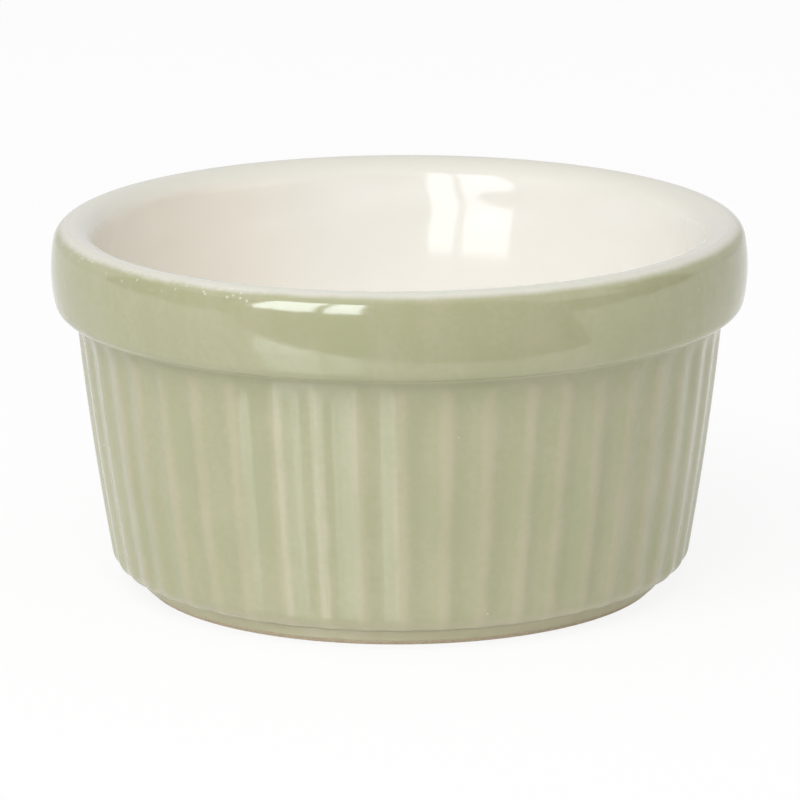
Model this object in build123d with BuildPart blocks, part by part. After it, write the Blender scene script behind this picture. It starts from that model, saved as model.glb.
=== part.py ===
from build123d import *
import os
from math import asin, cos, degrees, hypot, radians, sin, tan

# Fluted stoneware ramekin, standing on its foot ring with its axis on Z.
# Lengths are in millimetres and angles in degrees. The sizes of the outside are
# taken over the glaze, and the clay lies one glaze coat under them.

# Main sizes of the ramekin
rim_diameter = 95.0
height = 50.0
glaze_coat = 0.35

# Rim band: a barrelled collar with a rounded crest, standing proud of the wall
band_height = 11.8
band_bow_radius = 21.5
crest_outer_round = 2.5
crest_inner_round = 3.6
band_lower_round = 1.9

# Fluted wall: it leans in towards the foot, a little more at the bottom than at the top,
# and ends in a rounded lip that turns under to the foot ring
wall_step_in = 3.15
wall_top_lean = 5.6
wall_bottom_lean = 9.6
lip_round = 3.2
lip_turn = 80.0

# Flutes: shallow hollows side by side, with a narrow ridge left between them, the first
# of them facing the viewer, and the shares of the wall and of the lip's turn at which
# their outline is drawn
flute_count = 48
first_ridge_angle = -90.0
flute_depth = 0.42
flute_width_share = 0.78
flute_glaze_pool = 0.1
wall_stop_shares = (0, 0.5, 1)
lip_stop_shares = (0.45, 1)

# Foot ring and the recess inside it
foot_height = 2.4
foot_step_in = 0.3
foot_side_taper = 0.6
foot_face_width = 2.4
foot_edge_round = 0.5
foot_bare_height = 0.7
recess_height = 1.7
recess_draft = 1.1

# Bowl
floor_thickness = 4.3
bowl_corner_round = 8.5
bowl_draft = 11.0

# Where the cream glaze of the bowl meets the green glaze of the outside:
# the angle on the outer half of the crest, above level
colour_line_angle = 56.0

# Length by which an outline that cuts runs past what it cuts
overrun = 4.0

# Places on the rim band, worked out from the sizes
rim_radius = rim_diameter / 2
band_underside = height - band_height
band_middle = band_underside + band_height / 2
bow_centre = (rim_radius - band_bow_radius, band_middle)
crest_angle = asin((height - crest_outer_round - band_middle) / (band_bow_radius - crest_outer_round))
crest_outer_centre = (
    bow_centre[0] + (band_bow_radius - crest_outer_round) * cos(crest_angle),
    height - crest_outer_round,
)
crest_inner_centre = (crest_outer_centre[0], height - crest_inner_round)
lower_angle = asin((band_height / 2 - band_lower_round) / (band_bow_radius - band_lower_round))
lower_centre = (
    bow_centre[0] + (band_bow_radius - band_lower_round) * cos(lower_angle),
    band_underside + band_lower_round,
)

# Places on the wall and its lip
top_lean = radians(wall_top_lean)
bottom_lean = radians(wall_bottom_lean)
lip_end_lean = radians(lip_turn)
lip_centre_height = foot_height + lip_round * sin(lip_end_lean)
wall_bottom_height = lip_centre_height - lip_round * sin(bottom_lean)
wall_drop = band_underside - wall_bottom_height
wall_draw_in = wall_drop * tan((top_lean + bottom_lean) / 2)
wall_bottom_radius = rim_radius - wall_step_in - wall_draw_in
wall_bow_radius = hypot(wall_drop, wall_draw_in) / (2 * sin((bottom_lean - top_lean) / 2))
wall_centre = (
    wall_bottom_radius - wall_bow_radius * cos(bottom_lean),
    wall_bottom_height + wall_bow_radius * sin(bottom_lean),
)
lip_centre = (wall_bottom_radius - lip_round * cos(bottom_lean), lip_centre_height)
lip_end_radius = lip_centre[0] + lip_round * cos(lip_end_lean)
flute_pitch = 360 / flute_count
ridge_half_pitch = flute_pitch * (1 - flute_width_share) / 2

# Places on the foot ring and in the bowl
foot_top_radius = lip_end_radius - flute_depth - foot_step_in
foot_face_radius = foot_top_radius - foot_side_taper - foot_edge_round
foot_inner_radius = foot_face_radius - foot_face_width
foot_middle_radius = foot_face_radius - foot_face_width / 2
bowl_floor = recess_height + floor_thickness
bowl_lean = radians(bowl_draft)
mouth_radius = crest_inner_centre[0] - crest_inner_round * cos(bowl_lean)
mouth_height = crest_inner_centre[1] + crest_inner_round * sin(bowl_lean)
corner_height = bowl_floor + bowl_corner_round
corner_wall_height = corner_height - bowl_corner_round * sin(bowl_lean)
corner_wall_radius = mouth_radius - (mouth_height - corner_wall_height) * tan(bowl_lean)
corner_centre = (corner_wall_radius - bowl_corner_round * cos(bowl_lean), corner_height)
above = height + overrun
outside = rim_radius + overrun


def polar(radius, angle):
    """Return the point of a level plane at a radius and an angle from X."""
    return (radius * cos(radians(angle)), radius * sin(radians(angle)))


def draw_fluted_ring(ridge_radius, depth):
    """Draw the wall's level section in the open line builder: ridge and flute in turn, all round.

    A ridge faces straight to the front, and each flute is an arc with its hollow outside.
    """
    for number in range(flute_count):
        ridge = first_ridge_angle + number * flute_pitch
        start = polar(ridge_radius, ridge + ridge_half_pitch)
        middle = polar(ridge_radius - depth, ridge + flute_pitch / 2)
        end = polar(ridge_radius, ridge + flute_pitch - ridge_half_pitch)
        Line(polar(ridge_radius, ridge - ridge_half_pitch), start)
        ThreePointArc(start, middle, end)


def draw_band(inset):
    """Draw the half section of the rim band out to the axis, the given depth under the glaze."""
    crest = CenterArc(
        crest_outer_centre, crest_outer_round - inset, degrees(crest_angle), 90 - degrees(crest_angle)
    )
    CenterArc(bow_centre, band_bow_radius - inset, -degrees(lower_angle), degrees(lower_angle + crest_angle))
    corner = CenterArc(lower_centre, band_lower_round - inset, -90, 90 - degrees(lower_angle))
    Polyline(crest @ 1, (0, height - inset), (0, band_underside + inset), corner @ 0)


def draw_foot(inset):
    """Draw the half section of the foot out to the axis, the given depth under the glaze."""
    lip_level = lip_centre[1] - (lip_round - inset) * sin(lip_end_lean)
    Polyline(
        (0, 0),
        (foot_face_radius - inset, 0),
        (foot_face_radius + foot_edge_round - inset, foot_edge_round),
        (foot_top_radius - inset, lip_level),
        (0, lip_level),
        close=True,
    )


def draw_recess(inset):
    """Draw the half section of the hollow under the foot, the given depth under the glaze."""
    Polyline(
        (0, 0),
        (foot_inner_radius + inset, 0),
        (foot_inner_radius - recess_draft + inset, recess_height + inset),
        (0, recess_height + inset),
        close=True,
    )


def draw_bowl_surface(inset):
    """Draw the bowl's floor, corner and wall up to the top of the crest, the given depth under the glaze.

    Returns the ends of the line: on the axis, and on the crest.
    """
    crest = CenterArc(crest_inner_centre, crest_inner_round - inset, 90, 90 - bowl_draft)
    corner = CenterArc(corner_centre, bowl_corner_round + inset, -90, 90 - bowl_draft)
    Line(crest @ 1, corner @ 1)
    floor = Line(corner @ 0, (0, bowl_floor - inset))
    return floor @ 1, crest @ 0


def make_outside(inset, pool):
    """Return the solid block inside the outer surface, the given depth under the glaze.

    It has the rim band, the fluted wall with its lip and the foot, but no bowl yet.
    The flutes are deeper by the pool, the extra glaze that gathers in them.
    """
    with BuildPart() as block:
        with BuildSketch(Plane.XY.offset(band_underside + inset)):
            with BuildLine():
                draw_fluted_ring(wall_centre[0] + (wall_bow_radius - inset) * cos(top_lean), flute_depth + pool)
            make_face()
        for share in wall_stop_shares[1:]:
            lean = top_lean + (bottom_lean - top_lean) * share
            with BuildSketch(Plane.XY.offset(wall_centre[1] - (wall_bow_radius - inset) * sin(lean))):
                with BuildLine():
                    draw_fluted_ring(wall_centre[0] + (wall_bow_radius - inset) * cos(lean), flute_depth + pool)
                make_face()
        for share in lip_stop_shares:
            lean = bottom_lean + (lip_end_lean - bottom_lean) * share
            with BuildSketch(Plane.XY.offset(lip_centre[1] - (lip_round - inset) * sin(lean))):
                with BuildLine():
                    draw_fluted_ring(lip_centre[0] + (lip_round - inset) * cos(lean), flute_depth + pool)
                make_face()
        loft(ruled=True)
        with BuildSketch(Plane.XZ):
            with BuildLine():
                draw_band(inset)
            make_face()
        revolve(axis=Axis.Z)
        with BuildSketch(Plane.XZ):
            with BuildLine():
                draw_foot(inset)
            make_face()
        revolve(axis=Axis.Z)
    return block.part


# The clay body, one casting: fluted wall, rim band and foot ring, hollowed by the bowl and the recess
clay_block = make_outside(glaze_coat, flute_glaze_pool)
with BuildPart() as stoneware_body:
    add(clay_block)
    with BuildSketch(Plane.XZ):
        with BuildLine():
            axis_end, crest_end = draw_bowl_surface(glaze_coat)
            Polyline(axis_end, (0, above), (crest_inner_centre[0], above), crest_end)
        make_face()
    revolve(axis=Axis.Z, mode=Mode.SUBTRACT)
    with BuildSketch(Plane.XZ):
        with BuildLine():
            draw_recess(glaze_coat)
        make_face()
    revolve(axis=Axis.Z, mode=Mode.SUBTRACT)
stoneware_body.part.label = "stoneware_body"

# The cream glaze of the bowl, over the crest to the colour line
with BuildPart() as interior_glaze:
    with BuildSketch(Plane.XZ):
        with BuildLine():
            clay_axis_end, clay_crest_end = draw_bowl_surface(glaze_coat)
            glaze_axis_end, glaze_crest_end = draw_bowl_surface(0)
            clay_edge = CenterArc(
                crest_outer_centre, crest_outer_round - glaze_coat, colour_line_angle, 90 - colour_line_angle
            )
            glaze_edge = CenterArc(crest_outer_centre, crest_outer_round, colour_line_angle, 90 - colour_line_angle)
            Line(clay_axis_end, glaze_axis_end)
            Line(clay_edge @ 0, glaze_edge @ 0)
        make_face()
    revolve(axis=Axis.Z)
interior_glaze.part.label = "interior_glaze"

# The glaze of the hollow under the foot, down to the bare face of the foot ring
with BuildPart() as base_glaze:
    with BuildSketch(Plane.XZ):
        with BuildLine():
            draw_recess(glaze_coat)
        make_face()
        with BuildLine():
            draw_recess(0)
        make_face(mode=Mode.SUBTRACT)
        Rectangle(outside, foot_bare_height, align=(Align.MIN, Align.MIN), mode=Mode.SUBTRACT)
    revolve(axis=Axis.Z)
base_glaze.part.label = "base_glaze"

# The green glaze of the outside, from the colour line down the flutes to the foot.
# It is the skin between the glazed block and the clay, without what lies inside a line
# through the middle of the clay, above the colour line or below the glaze's edge on the foot.
glazed_block = make_outside(0, 0)
colour_line = (
    crest_outer_centre[0] + (crest_outer_round + overrun) * cos(radians(colour_line_angle)),
    crest_outer_centre[1] + (crest_outer_round + overrun) * sin(radians(colour_line_angle)),
)
with BuildPart() as exterior_glaze:
    add(glazed_block)
    with BuildSketch(Plane.XZ):
        with BuildLine():
            Polyline(
                (0, 0),
                (outside, 0),
                (outside, foot_bare_height),
                (foot_middle_radius, foot_bare_height),
                lip_centre,
                crest_outer_centre,
                colour_line,
                (colour_line[0], above),
                (0, above),
                close=True,
            )
        make_face()
    revolve(axis=Axis.Z, mode=Mode.SUBTRACT)
    add(stoneware_body.part, mode=Mode.SUBTRACT)
exterior_glaze.part.label = "exterior_glaze"

os.makedirs("parts", exist_ok=True)
export_step(stoneware_body.part, "parts/stoneware_body.step")
export_step(interior_glaze.part, "parts/interior_glaze.step")
export_step(exterior_glaze.part, "parts/exterior_glaze.step")
export_step(base_glaze.part, "parts/base_glaze.step")
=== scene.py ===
"""A fluted stoneware ramekin: its three glaze coats, its bare foot and a plain studio.

Half sections and the sizes of the form are in millimetres. Meshes, materials and the studio are in
metres. Angles in fields and arguments are in degrees, apart from the viewpoint's.
"""

import logging
import math
import random
from collections.abc import Mapping, Sequence
from dataclasses import dataclass, field
from enum import Enum

import bpy
from mathutils import Matrix, Vector

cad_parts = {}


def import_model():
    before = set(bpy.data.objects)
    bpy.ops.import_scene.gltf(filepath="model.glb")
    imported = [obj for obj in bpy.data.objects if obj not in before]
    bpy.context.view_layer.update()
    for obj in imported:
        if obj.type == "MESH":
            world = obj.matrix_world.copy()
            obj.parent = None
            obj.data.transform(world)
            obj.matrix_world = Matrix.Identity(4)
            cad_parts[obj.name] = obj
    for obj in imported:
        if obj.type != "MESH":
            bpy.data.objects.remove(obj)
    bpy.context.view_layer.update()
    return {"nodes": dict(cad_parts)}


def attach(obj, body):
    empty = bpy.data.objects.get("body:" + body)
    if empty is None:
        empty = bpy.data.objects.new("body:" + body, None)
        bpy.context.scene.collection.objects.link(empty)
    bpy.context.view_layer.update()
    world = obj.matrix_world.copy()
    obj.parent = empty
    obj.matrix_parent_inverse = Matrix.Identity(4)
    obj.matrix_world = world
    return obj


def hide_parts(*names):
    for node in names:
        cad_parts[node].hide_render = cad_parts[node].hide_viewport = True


LOG = logging.getLogger("ramekin")
MM = 0.001
LEVEL = 0.0
UPRIGHT = 90.0
FULL_TURN = 2 * math.pi
NOISE_MEAN = 0.5
RIDGE_ATTRIBUTE = "ridge"

Place = tuple[float, float]
Span = tuple[float, float]
Triple = tuple[float, float, float]
Colour = tuple[float, float, float, float]

WHITE: Colour = (1, 1, 1, 1)


def on_circle(centre: Place, radius: float, angle: float) -> Place:
    """Return the point of a circle in a half section at an angle above level."""
    turn = math.radians(angle)
    return (centre[0] + radius * math.cos(turn), centre[1] + radius * math.sin(turn))


def arc(centre: Place, radius: float, start: float, end: float, steps: int) -> list[Place]:
    """Return points along an arc of a half section, from one angle to another in equal steps."""
    angles = [start + (end - start) * step / steps for step in range(steps + 1)]
    return [on_circle(centre, radius, angle) for angle in angles]


def smooth_step(value: float, low: float, high: float) -> float:
    """Return 0 at low, 1 at high and a smooth rise between them, also where low is over high."""
    share = min(1.0, max(0.0, (value - low) / (high - low)))
    return share * share * (3 - 2 * share)


@dataclass(frozen=True)
class Form:
    """The ramekin's sizes over the glaze, in millimetres and degrees, as in the part's source."""

    rim_radius: float = 47.5
    height: float = 50.0
    glaze_coat: float = 0.35
    band_height: float = 11.8
    band_bow_radius: float = 21.5
    crest_outer_round: float = 2.5
    crest_inner_round: float = 3.6
    band_lower_round: float = 1.9
    wall_step_in: float = 3.15
    wall_top_lean: float = 5.6
    wall_bottom_lean: float = 9.6
    lip_round: float = 3.2
    lip_turn: float = 80.0
    flute_count: int = 48
    flute_depth: float = 0.42
    flute_width_share: float = 0.78
    first_ridge_angle: float = -90.0
    foot_height: float = 2.4
    foot_step_in: float = 0.3
    foot_side_taper: float = 0.6
    foot_face_width: float = 2.4
    foot_edge_round: float = 0.5
    foot_bare_height: float = 0.7
    recess_height: float = 1.7
    recess_draft: float = 1.1
    floor_thickness: float = 4.3
    bowl_corner_round: float = 8.5
    bowl_draft: float = 11.0

    @property
    def band_underside(self) -> float:
        """Height of the band's underside."""
        return self.height - self.band_height

    @property
    def bow_centre(self) -> Place:
        """Centre of the band's bow."""
        return (self.rim_radius - self.band_bow_radius, self.band_underside + self.band_height / 2)

    @property
    def crest_angle(self) -> float:
        """Angle above level at which the bow runs into the crest."""
        rise = self.height - self.crest_outer_round - self.bow_centre[1]
        return math.degrees(math.asin(rise / (self.band_bow_radius - self.crest_outer_round)))

    @property
    def crest_outer_centre(self) -> Place:
        """Centre of the crest's outer round."""
        reach = self.band_bow_radius - self.crest_outer_round
        return on_circle(self.bow_centre, reach, self.crest_angle)

    @property
    def crest_inner_centre(self) -> Place:
        """Centre of the crest's inner round."""
        return (self.crest_outer_centre[0], self.height - self.crest_inner_round)

    @property
    def lower_angle(self) -> float:
        """Angle below level at which the bow runs into the band's lower corner."""
        drop = self.band_height / 2 - self.band_lower_round
        return math.degrees(math.asin(drop / (self.band_bow_radius - self.band_lower_round)))

    @property
    def lower_centre(self) -> Place:
        """Centre of the band's lower corner."""
        reach = self.band_bow_radius - self.band_lower_round
        return on_circle(self.bow_centre, reach, -self.lower_angle)

    @property
    def lip_centre(self) -> Place:
        """Centre of the wall's rounded lip."""
        lean = math.radians(self.wall_bottom_lean)
        return (self.wall_bottom[0] - self.lip_round * math.cos(lean), self.lip_centre_height)

    @property
    def lip_centre_height(self) -> float:
        """Height of the lip's centre."""
        return self.foot_height + self.lip_round * math.sin(math.radians(self.lip_turn))

    @property
    def wall_bottom(self) -> Place:
        """Find where the bowed wall runs into its lip.

        Returns:
            The place, on a ridge.
        """
        drop = self.lip_round * math.sin(math.radians(self.wall_bottom_lean))
        height = self.lip_centre_height - drop
        mean_lean = math.radians((self.wall_top_lean + self.wall_bottom_lean) / 2)
        draw_in = (self.band_underside - height) * math.tan(mean_lean)
        return (self.rim_radius - self.wall_step_in - draw_in, height)

    @property
    def wall_bow_radius(self) -> float:
        """Find the radius of the wall's bow.

        Returns:
            The radius, as seen from the side.
        """
        drop = self.band_underside - self.wall_bottom[1]
        draw_in = self.rim_radius - self.wall_step_in - self.wall_bottom[0]
        half_turn = math.radians((self.wall_bottom_lean - self.wall_top_lean) / 2)
        return math.hypot(drop, draw_in) / (2 * math.sin(half_turn))

    @property
    def wall_centre(self) -> Place:
        """Centre of the wall's bow, seen from the side."""
        turn = 2 * UPRIGHT - self.wall_bottom_lean
        return on_circle(self.wall_bottom, self.wall_bow_radius, turn)

    @property
    def lip_end(self) -> Place:
        """Where the lip ends over the foot, on a ridge."""
        turn = math.radians(self.lip_turn)
        return (self.lip_centre[0] + self.lip_round * math.cos(turn), self.foot_height)

    @property
    def foot_top_radius(self) -> float:
        """Outer radius of the foot, under the lip."""
        return self.lip_end[0] - self.flute_depth - self.foot_step_in

    @property
    def foot_face_radius(self) -> float:
        """Outer radius of the face that stands on the table."""
        return self.foot_top_radius - self.foot_side_taper - self.foot_edge_round

    @property
    def foot_inner_radius(self) -> float:
        """Inner radius of the face that stands on the table."""
        return self.foot_face_radius - self.foot_face_width

    @property
    def mouth(self) -> Place:
        """Where the bowl's wall runs into the crest."""
        turn = 2 * UPRIGHT - self.bowl_draft
        return on_circle(self.crest_inner_centre, self.crest_inner_round, turn)

    @property
    def bowl_floor(self) -> float:
        """Height of the bowl's floor."""
        return self.recess_height + self.floor_thickness

    @property
    def corner_centre(self) -> Place:
        """Find the centre of the round between the bowl's floor and wall.

        Returns:
            The centre.
        """
        lean = math.radians(self.bowl_draft)
        height = self.bowl_floor + self.bowl_corner_round
        wall_height = height - self.bowl_corner_round * math.sin(lean)
        wall_radius = self.mouth[0] - (self.mouth[1] - wall_height) * math.tan(lean)
        return (wall_radius - self.bowl_corner_round * math.cos(lean), height)

    def bowl_radius_at(self, height: float) -> float:
        """Find the radius of the bowl's wall or of the crest's inner round.

        Args:
            height: The height at which it is wanted.

        Returns:
            The radius there.
        """
        mouth_radius, mouth_height = self.mouth
        if height <= mouth_height:
            return mouth_radius - (mouth_height - height) * math.tan(math.radians(self.bowl_draft))
        centre_radius, centre_height = self.crest_inner_centre
        rise = min(height - centre_height, self.crest_inner_round)
        return centre_radius - math.sqrt(self.crest_inner_round**2 - rise**2)

    def wall_radius_at(self, height: float) -> float:
        """Return the radius of the wall's ridges at a height."""
        drop = self.wall_centre[1] - height
        return self.wall_centre[0] + math.sqrt(self.wall_bow_radius**2 - drop**2)


class Signal:
    """A value in a shader. Arithmetic on it adds Math nodes to its tree."""

    def __init__(self, shader: "Shader", socket: bpy.types.NodeSocket) -> None:
        """Wrap an output socket of a shader."""
        self.shader = shader
        self.socket = socket

    def _math(self, operation: str, *terms: "Signal | float") -> "Signal":
        """Add a Math node on the terms in their order and return its result."""
        made = self.shader.node("ShaderNodeMath", {"operation": operation}, dict(enumerate(terms)))
        return Signal(self.shader, made.outputs[0])

    def __add__(self, other: "Signal | float") -> "Signal":
        """Return the sum."""
        return self._math("ADD", self, other)

    def __radd__(self, other: float) -> "Signal":
        """Return the sum."""
        return self._math("ADD", other, self)

    def __sub__(self, other: "Signal | float") -> "Signal":
        """Return the difference."""
        return self._math("SUBTRACT", self, other)

    def __rsub__(self, other: float) -> "Signal":
        """Return the difference."""
        return self._math("SUBTRACT", other, self)

    def __mul__(self, other: "Signal | float") -> "Signal":
        """Return the product."""
        return self._math("MULTIPLY", self, other)

    def __rmul__(self, other: float) -> "Signal":
        """Return the product."""
        return self._math("MULTIPLY", other, self)

    def larger(self, other: "Signal | float") -> "Signal":
        """Return the larger of the two."""
        return self._math("MAXIMUM", self, other)

    def rise(self, low: float, high: float) -> "Signal":
        """Turn the value into a smooth rise.

        Args:
            low: Where the rise starts, up to which it is 0.
            high: Where the rise ends, from which on it is 1.

        Returns:
            The risen value.
        """
        settings = {"interpolation_type": "SMOOTHSTEP"}
        made = self.shader.node("ShaderNodeMapRange", settings, {0: self, 1: low, 2: high})
        return Signal(self.shader, made.outputs[0])

    def between(self, start: Span, end: Span) -> "Signal":
        """Return a value that rises over the first span and falls over the second."""
        return self.rise(*start) * (1 - self.rise(*end))


Input = Signal | bpy.types.NodeSocket | float | Sequence[float]


@dataclass(frozen=True)
class Speckle:
    """How round specks are strewn, in metres.

    The spacing is that of the cells that may hold a speck, and the share is that of the cells that
    do. A speck is full up to its core, a share of its radius, and fades from there. The step is
    the range of chance over which a cell turns from bare to specked.
    """

    spacing: float
    radius: float
    share: float
    core: float = 0.4
    step: float = 0.001


class Shader:
    """A node tree that is built up node by node."""

    def __init__(self, tree: bpy.types.NodeTree) -> None:
        """Start with an empty tree."""
        self.tree = tree
        self.tree.nodes.clear()

    def node(
        self,
        kind: str,
        settings: Mapping[str, object] | None = None,
        inputs: Mapping[str | int, Input] | None = None,
    ) -> bpy.types.Node:
        """Add a node.

        Args:
            kind: The node's type.
            settings: Its settings, which are set first.
            inputs: The values or links of its sockets, by name or number.

        Returns:
            The node.
        """
        made = self.tree.nodes.new(kind)
        for name, value in (settings or {}).items():
            setattr(made, name, value)
        for key, value in (inputs or {}).items():
            source = value.socket if isinstance(value, Signal) else value
            if isinstance(source, bpy.types.NodeSocket):
                self.tree.links.new(source, made.inputs[key])
            else:
                made.inputs[key].default_value = source
        return made

    def signal(
        self,
        kind: str,
        output: str,
        inputs: Mapping[str | int, Input] | None = None,
        settings: Mapping[str, object] | None = None,
    ) -> Signal:
        """Add a node and return one of its outputs as a value."""
        return Signal(self, self.node(kind, settings, inputs).outputs[output])

    def place(self) -> bpy.types.NodeSocket:
        """Return the place on the piece, in metres."""
        return self.node("ShaderNodeTexCoord").outputs["Object"]

    def height(self, place: bpy.types.NodeSocket) -> Signal:
        """Return the height of a place, in metres."""
        return self.signal("ShaderNodeSeparateXYZ", "Z", {"Vector": place})

    def along(self, place: bpy.types.NodeSocket, way: Triple) -> Signal:
        """Return how far a place lies along a direction, in metres."""
        inputs = {0: place, 1: way}
        return self.signal("ShaderNodeVectorMath", "Value", inputs, {"operation": "DOT_PRODUCT"})

    def scaled(self, place: bpy.types.NodeSocket, factors: Triple) -> bpy.types.NodeSocket:
        """Return a place stretched along the axes."""
        made = self.node("ShaderNodeVectorMath", {"operation": "MULTIPLY"}, {0: place, 1: factors})
        return made.outputs[0]

    def noise(self, place: bpy.types.NodeSocket, size: float, detail: float = 2.0) -> Signal:
        """Return soft noise between 0 and 1, with blotches of a size in metres and finer detail."""
        inputs = {"Vector": place, "Scale": 1 / size, "Detail": detail}
        return self.signal("ShaderNodeTexNoise", "Fac", inputs)

    def specks(self, place: bpy.types.NodeSocket, kind: Speckle) -> Signal:
        """Strew round specks.

        Args:
            place: Where the specks are read.
            kind: How they are strewn.

        Returns:
            The specks, 1 in their middle and 0 between them.
        """
        edge = kind.radius / kind.spacing
        inputs = {"Vector": place, "Scale": 1 / kind.spacing}
        cells = self.node("ShaderNodeTexVoronoi", inputs=inputs)
        near = 1 - Signal(self, cells.outputs["Distance"]).rise(kind.core * edge, edge)
        chance = self.signal("ShaderNodeSeparateColor", "Red", {"Color": cells.outputs["Color"]})
        return near * chance.rise(1 - kind.step - kind.share, 1 - kind.share)

    def blend(self, share: Signal, first: Input, second: Input) -> bpy.types.NodeSocket:
        """Return the first colour where the share is 0 and the second where it is 1."""
        made = self.node("ShaderNodeMix", {"data_type": "RGBA"}, {0: share, 6: first, 7: second})
        return made.outputs[2]

    def relief(self, height: Signal, depth: float) -> bpy.types.NodeSocket:
        """Return a normal that follows a height, where 1 is the depth in metres."""
        inputs = {"Height": height, "Distance": depth}
        return self.node("ShaderNodeBump", inputs=inputs).outputs["Normal"]

    def finish(self, kind: str, inputs: Mapping[str | int, Input]) -> None:
        """Add a surface shader and link it to the material's output."""
        surface = self.node(kind, inputs=inputs)
        self.node("ShaderNodeOutputMaterial", inputs={"Surface": surface.outputs[0]})


class Finish:
    """A finish that pieces are dressed in."""

    name: str

    def shade(self, shader: Shader) -> None:
        """Build the finish in a shader."""
        raise NotImplementedError

    def material(self) -> bpy.types.Material:
        """Make a material with this finish.

        Returns:
            The material.
        """
        made = bpy.data.materials.new(self.name)
        made.use_nodes = True
        self.shade(Shader(made.node_tree))
        return made

    def put_on(self, piece: bpy.types.Object) -> None:
        """Dress a piece in this finish alone."""
        piece.data.materials.clear()
        piece.data.materials.append(self.material())


@dataclass(frozen=True)
class CreamGlaze(Finish):
    """The glossy cream glaze of the bowl, satin where it thins under the mouth's near side."""

    name: str = "cream_glaze"
    colour: Colour = (0.863, 0.843, 0.793, 1)
    thin: Colour = (0.84, 0.815, 0.755, 1)
    # Painted shade: a warmer, darker cream for the shaded left side of the bowl's wall.
    painted_warm_shade: Colour = (0.84, 0.775, 0.66, 1)
    # Painted shade: a darker cream that the crest takes towards its top.
    crest: Colour = (0.70, 0.685, 0.61, 1)
    mottle_size: float = 9 * MM
    mottle_span: Span = (0.3, 0.8)
    mottle_share: float = 0.5
    painted_shade_side: Triple = (-0.97, 0.24, 0.0)
    painted_shade_span: Span = (12 * MM, 41 * MM)
    painted_shade_share: float = 0.7
    crest_shade_span: Span = (46.8 * MM, 49.8 * MM)
    roughness: float = 0.08
    gloss: float = 1.28
    satin: float = 0.3
    satin_start: Span = (36 * MM, 47 * MM)
    satin_end: Span = (47.6 * MM, 49.2 * MM)
    back_side: Triple = (0.0, 1.0, 0.0)
    back_span: Span = (0 * MM, 28 * MM)
    ripple_size: float = 5 * MM
    ripple_depth: float = 0.012 * MM

    def shade(self, shader: Shader) -> None:
        """Build the finish.

        Args:
            shader: The shader that it is built in.
        """
        place = shader.place()
        height = shader.height(place)
        mottle = shader.noise(place, self.mottle_size).rise(*self.mottle_span)
        # Painted shade: the wall turns warmer and darker towards its left side.
        painted_shade_mask = shader.along(place, self.painted_shade_side).rise(*self.painted_shade_span)
        body = shader.blend(mottle * self.mottle_share, self.colour, self.thin)
        body = shader.blend(painted_shade_mask * self.painted_shade_share, body, self.painted_warm_shade)
        # Painted shade: the crest darkens towards its top.
        body = shader.blend(height.rise(*self.crest_shade_span), body, self.crest)
        near = 1 - shader.along(place, self.back_side).rise(*self.back_span)
        mouth = height.between(self.satin_start, self.satin_end) * near
        ripple = shader.noise(place, self.ripple_size, detail=0)
        shader.finish(
            "ShaderNodeBsdfPrincipled",
            {
                "Base Color": body,
                "Roughness": mouth * self.satin + self.roughness,
                "IOR": self.gloss,
                "Normal": shader.relief(ripple, self.ripple_depth),
            },
        )


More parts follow.
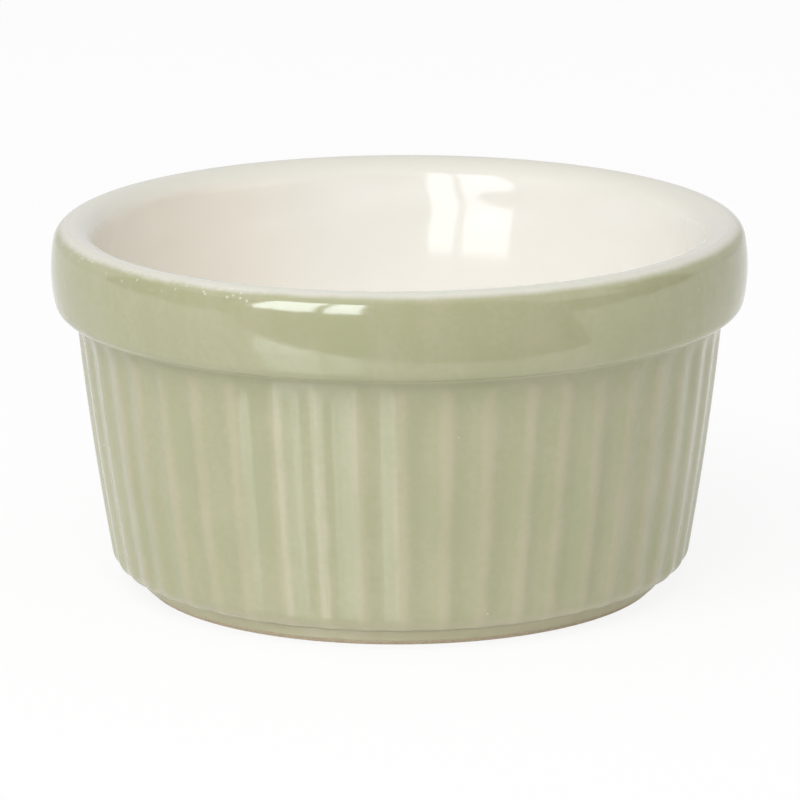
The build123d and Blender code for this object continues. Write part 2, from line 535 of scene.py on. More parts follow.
@dataclass(frozen=True)
class SageGlaze(Finish):
    """The glossy sage glaze of the outside, which breaks to tan over ridges and edges.

    It ends at the rim in a wandering line, which froths on one side, and has a few pale pinholes.
    The tan at the lip's lower edge is also a painted highlight, the foot's tan is lightened as
    painted light from the floor, and the groove under the lip is darkened with painted shade.
    """

    name: str = "sage_glaze"
    pooled: Colour = (0.398, 0.398, 0.243, 1)
    sage: Colour = (0.430, 0.419, 0.270, 1)
    tan: Colour = (0.52, 0.47, 0.33, 1)
    # Tan of the thin glaze on the foot's side, lightened as painted light from the bright floor.
    foot_tan_and_floor_light: Colour = (0.575, 0.54, 0.365, 1)
    cream: Colour = (0.68, 0.665, 0.585, 1)
    pale: Colour = (0.70, 0.68, 0.56, 1)
    # Painted shade for the groove under the lip.
    groove: Colour = (0.30, 0.28, 0.19, 1)
    roughness: float = 0.09
    gloss: float = 1.53
    grain_size: float = 0.9 * MM
    mottle_size: float = 6 * MM
    mottle_stretch: Triple = (1, 1, 0.5)
    sage_grain: float = 0.6
    sage_span: Span = (0.3, 0.75)
    ridge_least: float = 0.3
    ridge_mottle: float = 0.9
    ridge_grain: float = 0.3
    ridge_span: Span = (0.1, 0.9)
    ridge_share: float = 0.5
    # The lip's lower edge breaks to tan, which is also painted lighter as a highlight.
    lip_start: Span = (2.2 * MM, 2.7 * MM)
    lip_end: Span = (3.2 * MM, 4.6 * MM)
    lip_share: float = 0.45
    foot_span: Span = (2.05 * MM, 2.45 * MM)
    foot_share: float = 0.8
    groove_shade_start: Span = (1.9 * MM, 2.3 * MM)
    groove_shade_end: Span = (2.5 * MM, 3.0 * MM)
    groove_shade_share: float = 0.8
    cream_span: Span = (49.05 * MM, 49.85 * MM)
    wander_size: float = 6 * MM
    wander_reach: float = 0.4 * MM
    frothy_side: Triple = (-0.77, -0.64, 0.0)
    frothy_span: Span = (36 * MM, 45 * MM)
    froth_size: float = 0.6 * MM
    froth_least: float = 0.15 * MM
    froth_more: float = 0.2 * MM
    bubble_heights: Span = (47.7 * MM, 48.7 * MM)
    bubble_patches: Span = (0.3, 0.45)
    bubbles: Speckle = Speckle(1.0 * MM, 0.26 * MM, 0.8)
    pinholes: Speckle = Speckle(4.0 * MM, 0.21 * MM, 0.24)
    pale_share: float = 0.7
    peel_size: float = 2.2 * MM
    peel_depth: float = 0.015 * MM

    def shade(self, shader: Shader) -> None:
        """Build the finish.

        Args:
            shader: The shader that it is built in.
        """
        place = shader.place()
        height = shader.height(place)
        settings = {"attribute_name": RIDGE_ATTRIBUTE}
        ridge = shader.signal("ShaderNodeAttribute", "Fac", settings=settings)
        grain = shader.noise(place, self.grain_size, detail=3) - NOISE_MEAN
        mottle = shader.noise(shader.scaled(place, self.mottle_stretch), self.mottle_size)
        on_ridge = ridge * (self.ridge_least + mottle * self.ridge_mottle)
        on_ridge = on_ridge + grain * self.ridge_grain

        wander = shader.noise(place, self.wander_size)
        froth = shader.noise(place, self.froth_size, detail=1)
        frothy = shader.along(place, self.frothy_side).rise(*self.frothy_span)
        line = height + (wander - NOISE_MEAN) * self.wander_reach
        line = line + (froth - NOISE_MEAN) * (frothy * self.froth_more + self.froth_least)

        bubbly = height.rise(*self.bubble_heights) * frothy * wander.rise(*self.bubble_patches)
        bubbles = shader.specks(place, self.bubbles) * bubbly
        pits = bubbles.larger(shader.specks(place, self.pinholes))

        body = shader.blend(
            (mottle + grain * self.sage_grain).rise(*self.sage_span), self.pooled, self.sage
        )
        for share, colour in (
            (on_ridge.rise(*self.ridge_span) * self.ridge_share, self.tan),
            # The lip's lower edge breaks to tan, also painted lighter as a highlight.
            (height.between(self.lip_start, self.lip_end) * self.lip_share, self.tan),
            # The foot's side turns tan, lightened as painted light from the floor.
            ((1 - height.rise(*self.foot_span)) * self.foot_share, self.foot_tan_and_floor_light),
            # Painted shade: the groove under the lip is darkened.
            (height.between(self.groove_shade_start, self.groove_shade_end) * self.groove_shade_share, self.groove),
            (line.rise(*self.cream_span), self.cream),
            (pits * self.pale_share, self.pale),
        ):
            body = shader.blend(share, body, colour)

        peel = shader.noise(place, self.peel_size, detail=1)
        shader.finish(
            "ShaderNodeBsdfPrincipled",
            {
                "Base Color": body,
                "Roughness": self.roughness,
                "IOR": self.gloss,
                "Normal": shader.relief(peel - pits, self.peel_depth),
            },
        )


@dataclass(frozen=True)
class BareClay(Finish):
    """The dry fired clay of the foot's face, with dark specks of iron."""

    name: str = "stoneware"
    colour: Colour = (0.63, 0.54, 0.40, 1)
    dark: Colour = (0.48, 0.38, 0.25, 1)
    roughness: float = 0.85
    grain_size: float = 0.5 * MM
    grain_depth: float = 0.05 * MM
    grain_span: Span = (0.35, 0.75)
    grain_share: float = 0.6
    iron: Speckle = Speckle(1.6 * MM, 0.16 * MM, 0.35)

    def shade(self, shader: Shader) -> None:
        """Build the finish.

        Args:
            shader: The shader that it is built in.
        """
        place = shader.place()
        grain = shader.noise(place, self.grain_size, detail=4)
        hollows = (1 - grain.rise(*self.grain_span)) * self.grain_share
        body = shader.blend(hollows, self.colour, self.dark)
        shader.finish(
            "ShaderNodeBsdfPrincipled",
            {
                "Base Color": shader.blend(shader.specks(place, self.iron), body, self.dark),
                "Roughness": self.roughness,
                "Normal": shader.relief(grain, self.grain_depth),
            },
        )


@dataclass(frozen=True)
class Workbench:
    """The operations that the pieces are shaped with.

    The weld is the distance under which two points become one, and the core is the size of the
    cylinder round the axis that a point is drawn towards, both in metres.
    """

    weld: float = 0.001 * MM
    core: float = 0.001 * MM
    smooth_angle: float = 50.0

    def throw(self, name: str, section: Sequence[Place], steps: int) -> bpy.types.Object:
        """Draw a half section point by point and turn it round the axis into a closed shell.

        Args:
            name: Name of the piece.
            section: The section's points. It closes on itself or ends on the axis.
            steps: Number of steps of the turn.

        Returns:
            The piece.
        """
        bpy.ops.object.select_all(action="DESELECT")
        bpy.ops.mesh.primitive_plane_add(size=MM)
        piece = bpy.context.object
        piece.name = name
        piece.data.name = name
        bpy.ops.object.mode_set(mode="EDIT")
        bpy.ops.mesh.select_all(action="SELECT")
        bpy.ops.mesh.merge(type="CENTER")
        bpy.ops.transform.translate(value=(section[0][0] * MM, 0, section[0][1] * MM))
        for (radius, height), (next_radius, next_height) in zip(section, section[1:]):
            move = ((next_radius - radius) * MM, 0, (next_height - height) * MM)
            bpy.ops.mesh.extrude_vertices_move(TRANSFORM_OT_translate={"value": move})
        bpy.ops.mesh.select_all(action="SELECT")
        bpy.ops.mesh.remove_doubles(threshold=self.weld)
        bpy.ops.object.mode_set(mode="OBJECT")
        turn = piece.modifiers.new("turn", "SCREW")
        turn.steps = steps
        turn.render_steps = steps
        self.settle(piece, turn)
        bpy.ops.object.mode_set(mode="EDIT")
        bpy.ops.mesh.select_all(action="SELECT")
        bpy.ops.mesh.remove_doubles(threshold=self.weld)
        bpy.ops.mesh.normals_make_consistent(inside=False)
        bpy.ops.object.mode_set(mode="OBJECT")
        return piece

    def weigh(self, piece: bpy.types.Object, name: str, weights: Sequence[float]) -> None:
        """Give the points of a piece their weights.

        Args:
            piece: The piece.
            name: Name of the group of weights.
            weights: The weight of each point. A point of 0 or less stays out of the group.
        """
        group = piece.vertex_groups.new(name=name)
        for index, weight in enumerate(weights):
            if weight > 0:
                group.add([index], weight, "REPLACE")

    def press(self, piece: bpy.types.Object, group: str, pull: float) -> None:
        """Draw the weighed points of a piece level towards its axis.

        Args:
            piece: The piece.
            group: The group of weights.
            pull: Share of its radius by which a point of weight 1 is drawn in.
        """
        modifier = piece.modifiers.new(group, "CAST")
        modifier.cast_type = "CYLINDER"
        modifier.use_z = False
        modifier.factor = pull
        modifier.use_radius_as_size = False
        modifier.size = self.core
        modifier.vertex_group = group
        self.settle(piece, modifier)

    def swell(self, piece: bpy.types.Object, group: str, rise: float) -> None:
        """Raise the weighed points of a piece along its normals.

        Args:
            piece: The piece.
            group: The group of weights.
            rise: How far a point of weight 1 is raised, in metres.
        """
        modifier = piece.modifiers.new(group, "DISPLACE")
        modifier.mid_level = 0
        modifier.strength = rise
        modifier.vertex_group = group
        self.settle(piece, modifier)

    def settle(self, piece: bpy.types.Object, modifier: bpy.types.Modifier) -> None:
        """Apply a modifier and drop its weights.

        Args:
            piece: The piece.
            modifier: Its modifier.
        """
        bpy.context.view_layer.objects.active = piece
        bpy.ops.object.modifier_apply(modifier=modifier.name)
        piece.vertex_groups.clear()

    def smooth(self, piece: bpy.types.Object) -> None:
        """Shade a piece smooth, apart from its sharp edges.

        Args:
            piece: The piece.
        """
        bpy.ops.object.select_all(action="DESELECT")
        piece.select_set(True)
        bpy.context.view_layer.objects.active = piece
        bpy.ops.object.shade_smooth_by_angle(angle=math.radians(self.smooth_angle))


@dataclass
class Fluting:
    """The flutes of the wall: pressed by hand, so no two ridges are quite alike.

    Angles are in degrees and heights and depths in millimetres. The softening and the reach of a
    ridge are shares of a flute's width.
    """

    form: Form
    seed: int = 227470
    ridge_wander: float = 0.9
    depth_wander: float = 0.12
    slant_wander: float = 0.8
    soften: float = 0.2
    soften_steps: int = 2
    ridge_reach: float = 0.36
    fade_top: float = 37.7
    fade_end: float = 35.4
    lip_share: float = 0.7
    foot_overlap: float = 0.3
    foot_fade: float = 0.4
    middle_height: float = 22.0
    pitch: float = field(init=False)
    ridges: list[float] = field(init=False)
    slants: list[float] = field(init=False)
    depths: list[float] = field(init=False)

    def __post_init__(self) -> None:
        """Set out the ridges."""
        draw = random.Random(self.seed)
        self.pitch = 360 / self.form.flute_count
        first = self.form.first_ridge_angle
        self.ridges = [
            first + number * self.pitch + draw.uniform(-1, 1) * self.ridge_wander
            for number in range(self.form.flute_count)
        ]
        self.slants = [draw.uniform(-1, 1) * self.slant_wander for _ in self.ridges]
        self.depths = [1 + draw.uniform(-1, 1) * self.depth_wander for _ in self.ridges]

    def find(self, place: Vector) -> tuple[float, int]:
        """Find the flute that a place is in.

        Args:
            place: The place, in metres.

        Returns:
            How far across its flute the place is, from 0 to 1, and the flute's number.
        """
        angle = math.degrees(math.atan2(place.y, place.x))
        lean = (place.z / MM - self.middle_height) / self.form.height
        count = self.form.flute_count
        guess = int((angle - self.form.first_ridge_angle) % 360 // self.pitch)
        for number in (guess, guess - 1, guess + 1):
            start = self.ridge_at(number % count, lean)
            end = self.ridge_at((number + 1) % count, lean)
            width = (end - start) % 360
            across = (angle - start) % 360
            if across <= width:
                return across / width, number % count
        raise ValueError(f"no flute at {angle}")

    def ridge_at(self, number: int, lean: float) -> float:
        """Return the angle of a ridge, where lean is how far up the wall the place is."""
        return self.ridges[number] + self.slants[number] * lean

    def hollow(self, share: float) -> float:
        """Find how hollow a flute's softened section is.

        Args:
            share: How far across the flute, from one ridge at 0 to the next at 1.

        Returns:
            The share of the full depth.
        """
        steps = range(-self.soften_steps, self.soften_steps + 1)
        total = 0.0
        for step in steps:
            across = (share + step * self.soften / self.soften_steps) % 1
            out = abs(2 * across - 1) / self.form.flute_width_share
            total += max(0.0, 1 - out * out)
        return total / len(steps)

    def fade(self, height: float) -> float:
        """Find how much of the flutes' depth a height has.

        Args:
            height: The height.

        Returns:
            The share of the full depth.
        """
        lip_low = self.form.foot_height - self.foot_overlap
        upper = smooth_step(height, self.fade_top, self.fade_end)
        lower = smooth_step(height, lip_low - self.foot_fade, lip_low)
        lip = smooth_step(height, lip_low, self.form.lip_centre_height)
        return upper * lower * (self.lip_share + (1 - self.lip_share) * lip)

    def depth(self, place: Vector) -> float:
        """Find the depth of the flutes.

        Args:
            place: The place, in metres.

        Returns:
            The depth there, in millimetres.
        """
        fade = self.fade(place.z / MM)
        if fade == 0:
            return 0.0
        share, number = self.find(place)
        return self.hollow(share) * self.depths[number] * self.form.flute_depth * fade

    def ridge_mark(self, place: Vector) -> float:
        """Find how much a place is on a ridge, for the glaze to break there.

        Args:
            place: The place, in metres.

        Returns:
            0 away from the ridges and 1 on them.
        """
        fade = self.fade(place.z / MM)
        if fade == 0:
            return 0.0
        share, _ = self.find(place)
        return (1 - smooth_step(min(share, 1 - share), 0, self.ridge_reach)) * fade


@dataclass
class OutsideGlaze:
    """The sage glaze coat: rim band, fluted wall, lip and foot side.

    The back of the coat, on the clay, is plainer than its face. The fields named for the back say
    how far its points lie in and up from the bare face's edge and up from the foot's top.
    """

    form: Form
    bench: Workbench
    finish: SageGlaze
    name: str = "sage_glaze_coat"
    steps_per_flute: int = 16
    seam_angle: float = 84.0
    seam_gap: float = 1.0
    deepest_pull: float = 0.02
    throat_depth: float = 0.8
    groove_round: float = 0.35
    edge_roll: float = 0.18
    back_edge_in: float = 0.3
    back_edge_rise: float = 0.1
    back_side_rise: float = 0.8
    back_top_rise: float = 0.2
    back_lip_turn: float = 15.0

    def throat(self) -> list[Place]:
        """Draw the fillet between the band's underside and the wall.

        Returns:
            Its points, from the band down to the wall.
        """
        form = self.form
        reach = form.lower_centre[0]
        gap = reach - form.wall_radius_at(form.band_underside - self.throat_depth)
        radius = gap / math.cos(math.radians(form.wall_top_lean))
        centre = (reach, form.band_underside - radius)
        return arc(centre, radius, UPRIGHT, 2 * UPRIGHT - form.wall_top_lean, steps=8)

    def face(self) -> list[Place]:
        """Draw the face of the coat.

        Returns:
            Its points, from the crest down to the bare face of the foot.
        """
        form = self.form
        high, low, bottom = form.crest_angle, -form.lower_angle, -form.wall_bottom_lean
        start = self.seam_angle - self.seam_gap
        crest = arc(form.crest_outer_centre, form.crest_outer_round, start, high, steps=18)
        bow = arc(form.bow_centre, form.band_bow_radius, high, low, steps=16)
        corner = arc(form.lower_centre, form.band_lower_round, low, -UPRIGHT, steps=10)
        throat = self.throat()
        wall_drop = form.wall_centre[1] - throat[-1][1]
        wall_start = -math.degrees(math.asin(wall_drop / form.wall_bow_radius))
        wall = arc(form.wall_centre, form.wall_bow_radius, wall_start, bottom, steps=24)
        lip = arc(form.lip_centre, form.lip_round, bottom, -form.lip_turn, steps=12)
        groove_radius = form.foot_top_radius + self.groove_round
        groove_centre = (groove_radius, form.foot_height - self.groove_round)
        groove = arc(groove_centre, self.groove_round, UPRIGHT, 2 * UPRIGHT, steps=5)
        edge_radius = form.foot_face_radius + form.foot_edge_round
        roll_centre = (edge_radius - self.edge_roll, form.foot_bare_height + self.edge_roll)
        roll = arc(roll_centre, self.edge_roll, LEVEL, -UPRIGHT, steps=5)
        return crest + bow[1:] + corner[1:] + throat[1:] + wall[1:] + lip[1:] + groove + roll

    def back(self) -> list[Place]:
        """Draw the back of the coat.

        Returns:
            Its points, from the bare face of the foot up to the crest.
        """
        form = self.form
        coat = form.glaze_coat
        high, low, bottom = form.crest_angle, -form.lower_angle, -form.wall_bottom_lean
        edge_radius = form.foot_face_radius + form.foot_edge_round - coat
        foot = [
            (edge_radius - self.back_edge_in, form.foot_bare_height + self.back_edge_rise),
            (edge_radius, form.foot_bare_height + self.back_side_rise),
            (form.foot_top_radius - coat, form.foot_height + self.back_top_rise),
        ]
        lip_start = self.back_lip_turn - form.lip_turn
        bends = (
            (form.lip_centre, form.lip_round, lip_start, bottom, 3),
            (form.wall_centre, form.wall_bow_radius, bottom, -form.wall_top_lean, 4),
            (form.lower_centre, form.band_lower_round, -UPRIGHT, low, 3),
            (form.bow_centre, form.band_bow_radius, low, high, 4),
            (form.crest_outer_centre, form.crest_outer_round, high, self.seam_angle, 5),
        )
        lip, wall, corner, bow, crest = (
            arc(centre, radius - coat, start, end, steps)
            for centre, radius, start, end, steps in bends
        )
        return foot + lip + wall[1:] + corner + bow[1:] + crest[1:]

    def section(self) -> list[Place]:
        """Return the closed half section, from the crest down the face and up the back."""
        seam = on_circle(self.form.crest_outer_centre, self.form.crest_outer_round, self.seam_angle)
        return [seam, *self.face(), *self.back(), seam]

    def build(self) -> bpy.types.Object:
        """Model the coat and dress it.

        Returns:
            The piece.
        """
        form = self.form
        fluting = Fluting(form)
        piece = self.bench.throw(self.name, self.section(), form.flute_count * self.steps_per_flute)
        places = [vertex.co.copy() for vertex in piece.data.vertices]
        marks = [fluting.ridge_mark(place) for place in places]
        full_pulls = [place.xy.length * self.deepest_pull for place in places]
        pulls = [fluting.depth(place) * MM / full for place, full in zip(places, full_pulls)]
        self.bench.weigh(piece, "flutes", pulls)
        self.bench.press(piece, "flutes", self.deepest_pull)
        attribute = piece.data.attributes.new(RIDGE_ATTRIBUTE, "FLOAT", "POINT")
        attribute.data.foreach_set("value", marks)
        self.bench.smooth(piece)
        self.finish.put_on(piece)
        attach(piece, "root")
        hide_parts("exterior_glaze")
        return piece


@dataclass
class BowlGlaze:
    """The cream glaze coat: bowl and crest, with the slight waves that its hand-finished wall has.

    The waves run round the back wall under the crest, and a slight bulge under them leans the wall
    in and out. Both fade over the spans of height that are named for them, in millimetres.
    """

    form: Form
    bench: Workbench
    finish: CreamGlaze
    name: str = "cream_glaze_coat"
    steps: int = 480
    wall_steps: int = 48
    floor_shares: tuple[float, ...] = (0, 0.12, 0.3, 0.5, 0.7, 0.86)
    seam_angle: float = 84.0
    seam_gap: float = 1.0
    wave_height: float = 7.0
    wave_count: int = 7
    wave_depth: float = 0.085
    wave_turn: float = 79.0
    wave_crest: float = 43.2
    wave_top: Span = (48.5, 47.0)
    wave_end: Span = (39.5, 42.5)
    bulge_count: int = 3
    bulge_slope: float = 0.025
    bulge_turn: float = 78.0
    bulge_height: float = 40.0
    bulge_top: Span = (44.0, 40.0)
    bulge_end: Span = (28.0, 36.0)
    back_span: Span = (5.0, 25.0)
    most_swell: float = 0.25

    def face(self) -> list[Place]:
        """Draw the face of the coat.

        Returns:
            Its points, from the axis over the bowl and the crest to the seam.
        """
        form = self.form
        wall_turn = -form.bowl_draft
        mouth_turn = 2 * UPRIGHT - form.bowl_draft
        over_end = self.seam_angle + self.seam_gap
        floor = [(form.corner_centre[0] * share, form.bowl_floor) for share in self.floor_shares]
        corner = arc(form.corner_centre, form.bowl_corner_round, -UPRIGHT, wall_turn, steps=14)
        radius, height = corner[-1]
        run, rise = form.mouth[0] - radius, form.mouth[1] - height
        wall = [
            (radius + run * step / self.wall_steps, height + rise * step / self.wall_steps)
            for step in range(1, self.wall_steps)
        ]
        crest = arc(form.crest_inner_centre, form.crest_inner_round, mouth_turn, UPRIGHT, steps=40)
        over = arc(form.crest_outer_centre, form.crest_outer_round, UPRIGHT, over_end, steps=2)
        seam = on_circle(form.crest_outer_centre, form.crest_outer_round, self.seam_angle)
        return floor + corner + wall + crest + over[1:] + [seam]

    def back(self) -> list[Place]:
        """Draw the back of the coat.

        Returns:
            Its points, from the seam over the clay to the axis.
        """
        form = self.form
        coat = form.glaze_coat
        wall_turn = -form.bowl_draft
        mouth_turn = 2 * UPRIGHT - form.bowl_draft
        seam = on_circle(form.crest_outer_centre, form.crest_outer_round - coat, self.seam_angle)
        crest_round = form.crest_inner_round - coat
        crest = arc(form.crest_inner_centre, crest_round, UPRIGHT, mouth_turn, steps=5)
        corner_round = form.bowl_corner_round + coat
        corner = arc(form.corner_centre, corner_round, wall_turn, -UPRIGHT, steps=5)
        return [seam, *crest, *corner, (0, form.bowl_floor - coat)]

    def wave(self, place: Vector) -> float:
        """Find how far the wall swells into the bowl.

        Args:
            place: The place, in metres.

        Returns:
            How far it swells there, in millimetres.
        """
        height = place.z / MM
        if place.xy.length / MM > self.form.bowl_radius_at(height) + self.form.glaze_coat / 2:
            return 0.0
        angle = math.degrees(math.atan2(place.y, place.x))
        around = math.sin(math.radians((angle - self.wave_turn) * self.wave_count))
        up = math.cos(FULL_TURN * (height - self.wave_crest) / self.wave_height)
        wave_fade = smooth_step(height, *self.wave_top) * smooth_step(height, *self.wave_end)
        out = math.sin(math.radians((angle - self.bulge_turn) * self.bulge_count))
        lean = self.bulge_slope * (height - self.bulge_height)
        bulge_fade = smooth_step(height, *self.bulge_top) * smooth_step(height, *self.bulge_end)
        swell = self.wave_depth * around * up * wave_fade + out * lean * bulge_fade
        return smooth_step(place.y / MM, *self.back_span) * swell

    def build(self) -> bpy.types.Object:
        """Model the coat and dress it.

        Returns:
            The piece.
        """
        piece = self.bench.throw(self.name, self.face() + self.back(), self.steps)
        rises = [self.wave(vertex.co) for vertex in piece.data.vertices]
        for name, side in (("crests", 1), ("troughs", -1)):
            self.bench.weigh(piece, name, [side * rise / self.most_swell for rise in rises])
            self.bench.swell(piece, name, side * self.most_swell * MM)
        self.bench.smooth(piece)
        self.finish.put_on(piece)
        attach(piece, "root")
        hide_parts("interior_glaze")
        return piece


@dataclass
class RecessGlaze:
    """The sage glaze coat in the hollow under the foot, which ends just over the bare face."""

    form: Form
    bench: Workbench
    finish: SageGlaze
    name: str = "recess_glaze_coat"
    steps: int = 240
    ceiling_shares: tuple[float, ...] = (0, 0.15, 0.4, 0.65, 0.85)
    corner_round: float = 0.6
    corner_in: float = 0.15
    corner_end: float = 35.0
    edge_rise: float = 0.05

    def section(self) -> list[Place]:
        """Draw the coat's half section.

        Returns:
            Its points, from the axis out to the foot ring and back over the clay.
        """
        form = self.form
        coat = form.glaze_coat
        edge_height = form.foot_bare_height + self.edge_rise
        taper = form.recess_draft * form.foot_bare_height / form.recess_height
        edge_radius = form.foot_inner_radius - taper
        top_radius = form.foot_inner_radius - form.recess_draft
        corner_centre = (top_radius - self.corner_in, form.recess_height - self.corner_round)
        ceiling = [(corner_centre[0] * share, form.recess_height) for share in self.ceiling_shares]
        corner = arc(corner_centre, self.corner_round, UPRIGHT, self.corner_end, steps=5)
        back = [
            (edge_radius, edge_height),
            (edge_radius + coat, edge_height),
            (top_radius + coat, form.recess_height + coat),
            (0, form.recess_height + coat),
        ]
        return ceiling + corner + back

    def build(self) -> bpy.types.Object:
        """Model the coat and dress it.

        Returns:
            The piece.
        """
        piece = self.bench.throw(self.name, self.section(), self.steps)
        self.bench.smooth(piece)
        self.finish.put_on(piece)
        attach(piece, "root")
        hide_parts("base_glaze")
        return piece


class LampUse(Enum):
    """What a lamp or card is for."""

    SHADE = "lights the surfaces"
    SHINE = "is seen in the gloss"


@dataclass(frozen=True)
class Viewpoint:
    """The camera, at the photograph's viewing angle. Its rise and roll are in radians."""

    focal_pixels: float = 5881.0
    frame_pixels: float = 800.0
    sensor: float = 36.0
    distance: float = 0.8075
    rise: float = 0.240
    roll: float = 0.005
    aim: Triple = (-0.000005, 0.0, 0.02475)

    def set_up(self) -> None:
        """Make the camera."""
        forward = Vector((0, math.cos(self.rise), -math.sin(self.rise)))
        level = Vector((1, 0, 0))
        upward = level.cross(forward)
        right = level * math.cos(self.roll) - upward * math.sin(self.roll)
        top = level * math.sin(self.roll) + upward * math.cos(self.roll)
        bpy.ops.object.camera_add(location=Vector(self.aim) - forward * self.distance)
        camera = bpy.context.object
        camera.name = "camera"
        camera.data.sensor_width = self.sensor
        camera.data.lens = self.focal_pixels * self.sensor / self.frame_pixels
        camera.rotation_euler = Matrix((right, top, -forward)).transposed().to_euler()
        bpy.context.scene.camera = camera


@dataclass(frozen=True)
class StudioPaper(Finish):
    """The pale paper of the floor, which shows white and keeps a soft shadow."""

    name: str = "studio_paper"
    colour: Colour = (0.93, 0.93, 0.93, 1)
    lit_colour: Colour = (0.75, 0.75, 0.75, 1)
    # Painted light: the table glows faintly to all rays but the camera's, lighting the ramekin from
    # below.
    table_glow: float = 0.25
    glow_share: float = 0.87
    roughness: float = 0.2
    gloss: float = 1.8

    def shade(self, shader: Shader) -> None:
        """Build the finish.

        Args:
            shader: The shader that it is built in.
        """
        satin = {
            "Base Color": self.lit_colour,
            "Roughness": self.roughness,
            "IOR": self.gloss,
            "Emission Color": self.colour,
            "Emission Strength": self.table_glow,
        }
        # Painted light: to all rays but the camera's the floor is a satin table that glows faintly.
        table = shader.node("ShaderNodeBsdfPrincipled", inputs=satin)
        paper = shader.node("ShaderNodeBsdfDiffuse", inputs={"Color": self.colour})
        glow = shader.node("ShaderNodeEmission", inputs={"Color": WHITE, "Strength": 1.0})
        shares = {0: self.glow_share, 1: paper.outputs[0], 2: glow.outputs[0]}
        backdrop = shader.node("ShaderNodeMixShader", inputs=shares)
        seen = shader.signal("ShaderNodeLightPath", "Is Camera Ray")
        sides = {0: seen, 1: table.outputs[0], 2: backdrop.outputs[0]}
        shader.finish("ShaderNodeMixShader", sides)


@dataclass(frozen=True)
class Glow(Finish):
    """An even glow, or none, as of a window pane or a black card."""

    name: str
    strength: float
    colour: Colour = WHITE

    def shade(self, shader: Shader) -> None:
        """Build the finish in a shader."""
        shader.finish("ShaderNodeEmission", {"Color": self.colour, "Strength": self.strength})


@dataclass(frozen=True)
class Card:
    """A card that only the gloss shows, in metres.

    Its middle and its width and height are set out straight ahead of the ramekin or behind it, and
    then it is swung round the ramekin's axis, to the right of the photo where the swing is over 0.
    """

    name: str
    glow: Glow
    middle: Triple
    size: tuple[float, float]
    swing: float = 0.0
    tilt: float = UPRIGHT


DARK_ROOM = Glow("dark_room", 0.0)
BRIGHT_TABLE = Glow("bright_table", 0.9)


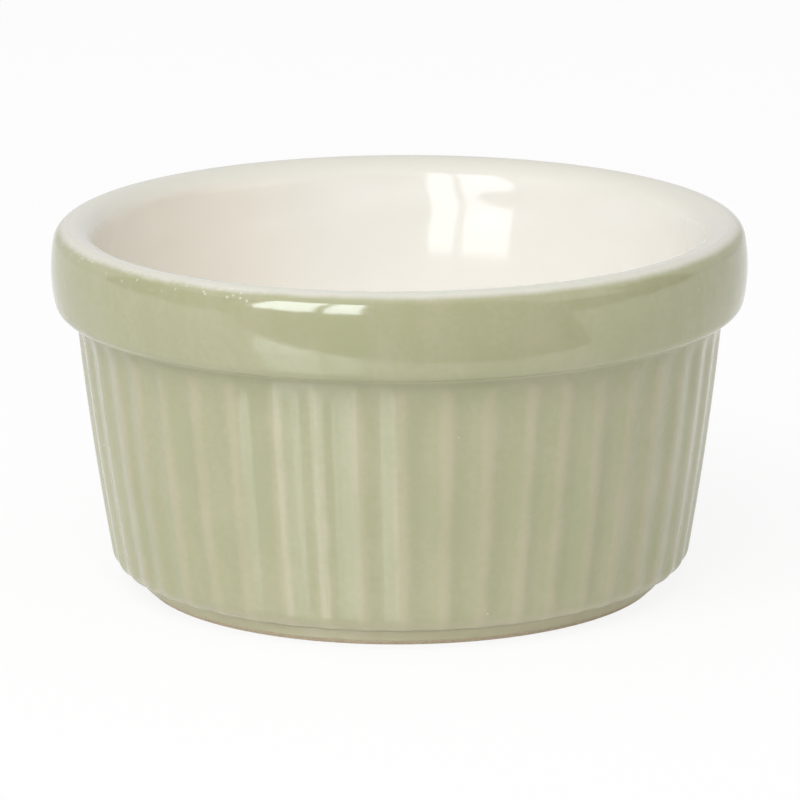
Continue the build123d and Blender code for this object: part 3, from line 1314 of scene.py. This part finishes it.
@dataclass
class Studio:
    """A white paper floor, a soft key lamp, and the window and cards that only the gloss shows."""

    floor_size: float = 10.0
    fill: float = 0.59
    key_power: float = 14.5
    key_size: float = 1.1
    key_distance: float = 1.5
    key_azimuth: float = -22.0
    key_rise: float = 48.0
    window_distance: float = 0.6
    window_azimuth: float = -30.1
    window_low: float = 5.5
    window_high: float = 45.0
    window_glass: Glow = Glow("window_glass", 11.0, (0.88, 0.95, 1.0, 1))
    pane_edges: tuple[Span, ...] = ((-16.9, 3.5), (6.9, 17.9))
    rim_height: float = 0.048
    cards: tuple[Card, ...] = (
        Card("table_card", DARK_ROOM, (0.1, -1.115, 0.002), (3.4, 2.0), 20, LEVEL),
        Card("left_table_card", BRIGHT_TABLE, (-1.2, -1.3, 0.003), (2.4, 2.4), -52, LEVEL),
        Card("right_table_card", BRIGHT_TABLE, (1.2, -1.3, 0.003), (2.4, 2.4), 56, LEVEL),
        Card("left_room_card", DARK_ROOM, (0.5, -3.2, 1.2), (3.4, 2.4), -90),
        Card("right_room_card", DARK_ROOM, (-0.5, -3.2, 1.2), (3.4, 2.4), 90),
        Card("far_light", Glow("far_light", 0.9), (0, -1.6, 1.16), (0.98, 1.5), 63),
        Card("room_card", DARK_ROOM, (0.1, -2.2, 1.6), (6.4, 3.6)),
        Card("wall_card", Glow("grey_wall", 0.75), (0, 1.6, 1.2), (8.0, 2.4)),
    )

    def set_up(self) -> None:
        """Make the floor, the world, the lamp, the window and the cards."""
        self.make_floor()
        self.make_world()
        self.make_key()
        for plan in (*self.window_panes(), *self.cards):
            self.hang(plan)

    def make_floor(self) -> None:
        """Lay the paper floor."""
        bpy.ops.mesh.primitive_plane_add(size=self.floor_size)
        floor = bpy.context.object
        floor.name = "paper_floor"
        StudioPaper().put_on(floor)

    def make_world(self) -> None:
        """Light the scene evenly from all round, with white for the camera and the gloss."""
        world = bpy.data.worlds.new("studio")
        bpy.context.scene.world = world
        world.use_nodes = True
        shader = Shader(world.node_tree)
        soft, white = (
            shader.node("ShaderNodeBackground", inputs={"Color": WHITE, "Strength": strength})
            for strength in (self.fill, 1.0)
        )
        path = shader.node("ShaderNodeLightPath")
        seen = Signal(shader, path.outputs["Is Camera Ray"])
        for name in ("Is Glossy Ray", "Is Transmission Ray"):
            seen = seen.larger(Signal(shader, path.outputs[name]))
        sides = {0: seen, 1: soft.outputs[0], 2: white.outputs[0]}
        mixed = shader.node("ShaderNodeMixShader", inputs=sides)
        shader.node("ShaderNodeOutputWorld", inputs={"Surface": mixed.outputs[0]})

    def make_key(self) -> None:
        """Hang the soft key lamp."""
        turn = math.radians(self.key_azimuth)
        level, top = on_circle((0, 0), self.key_distance, self.key_rise)
        away = Vector((math.sin(turn) * level, -math.cos(turn) * level, top))
        bpy.ops.object.light_add(type="AREA", location=away)
        lamp = bpy.context.object
        lamp.name = "key_lamp"
        lamp.data.shape = "SQUARE"
        lamp.data.size = self.key_size
        lamp.data.energy = self.key_power
        lamp.rotation_euler = away.to_track_quat("Z", "Y").to_euler()
        self.show_to(lamp, LampUse.SHADE)

    def window_panes(self) -> list[Card]:
        """Set out the window's panes.

        Returns:
            The panes, as cards.
        """
        low, high = (
            self.rim_height + self.window_distance * math.tan(math.radians(rise))
            for rise in (self.window_low, self.window_high)
        )
        panes = []
        for number, edges in enumerate(self.pane_edges, start=1):
            start, end = (self.window_distance * math.tan(math.radians(edge)) for edge in edges)
            middle = ((start + end) / 2, -self.window_distance, (low + high) / 2)
            size = (end - start, high - low)
            name = f"window_pane_{number}"
            panes.append(Card(name, self.window_glass, middle, size, self.window_azimuth))
        return panes

    def hang(self, plan: Card) -> None:
        """Hang a card.

        Args:
            plan: What the card is like and where it hangs.
        """
        swing = math.radians(plan.swing)
        middle = Matrix.Rotation(swing, 3, "Z") @ Vector(plan.middle)
        turn = (math.radians(plan.tilt), 0, swing)
        bpy.ops.mesh.primitive_plane_add(size=1, location=middle, rotation=turn)
        card = bpy.context.object
        card.name = plan.name
        card.scale = (*plan.size, 1)
        plan.glow.put_on(card)
        self.show_to(card, LampUse.SHINE)

    def show_to(self, lamp: bpy.types.Object, use: LampUse) -> None:
        """Let a lamp or card be seen only by the rays that its use needs.

        Args:
            lamp: The lamp or card.
            use: What it is for.
        """
        lamp.visible_camera = False
        lamp.visible_transmission = False
        lamp.visible_volume_scatter = False
        lamp.visible_glossy = use is LampUse.SHINE
        lamp.visible_diffuse = use is LampUse.SHADE
        lamp.visible_shadow = False


def main() -> None:
    """Build the pieces in order, set up the studio and report."""
    logging.basicConfig(level=logging.INFO, format="%(asctime)s %(name)s: %(message)s")
    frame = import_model()
    form = Form()
    bench = Workbench()
    sage = SageGlaze()
    BareClay().put_on(frame["nodes"]["stoneware_body"])
    LOG.info("dressed stoneware_body in bare clay")
    for maker in (
        OutsideGlaze(form, bench, sage),
        BowlGlaze(form, bench, CreamGlaze()),
        RecessGlaze(form, bench, sage),
    ):
        piece = maker.build()
        LOG.info("made %s with %d faces", piece.name, len(piece.data.polygons))
    Viewpoint().set_up()
    Studio().set_up()
    bpy.context.scene.view_settings.view_transform = "Standard"


if __name__ == "__main__":
    main()
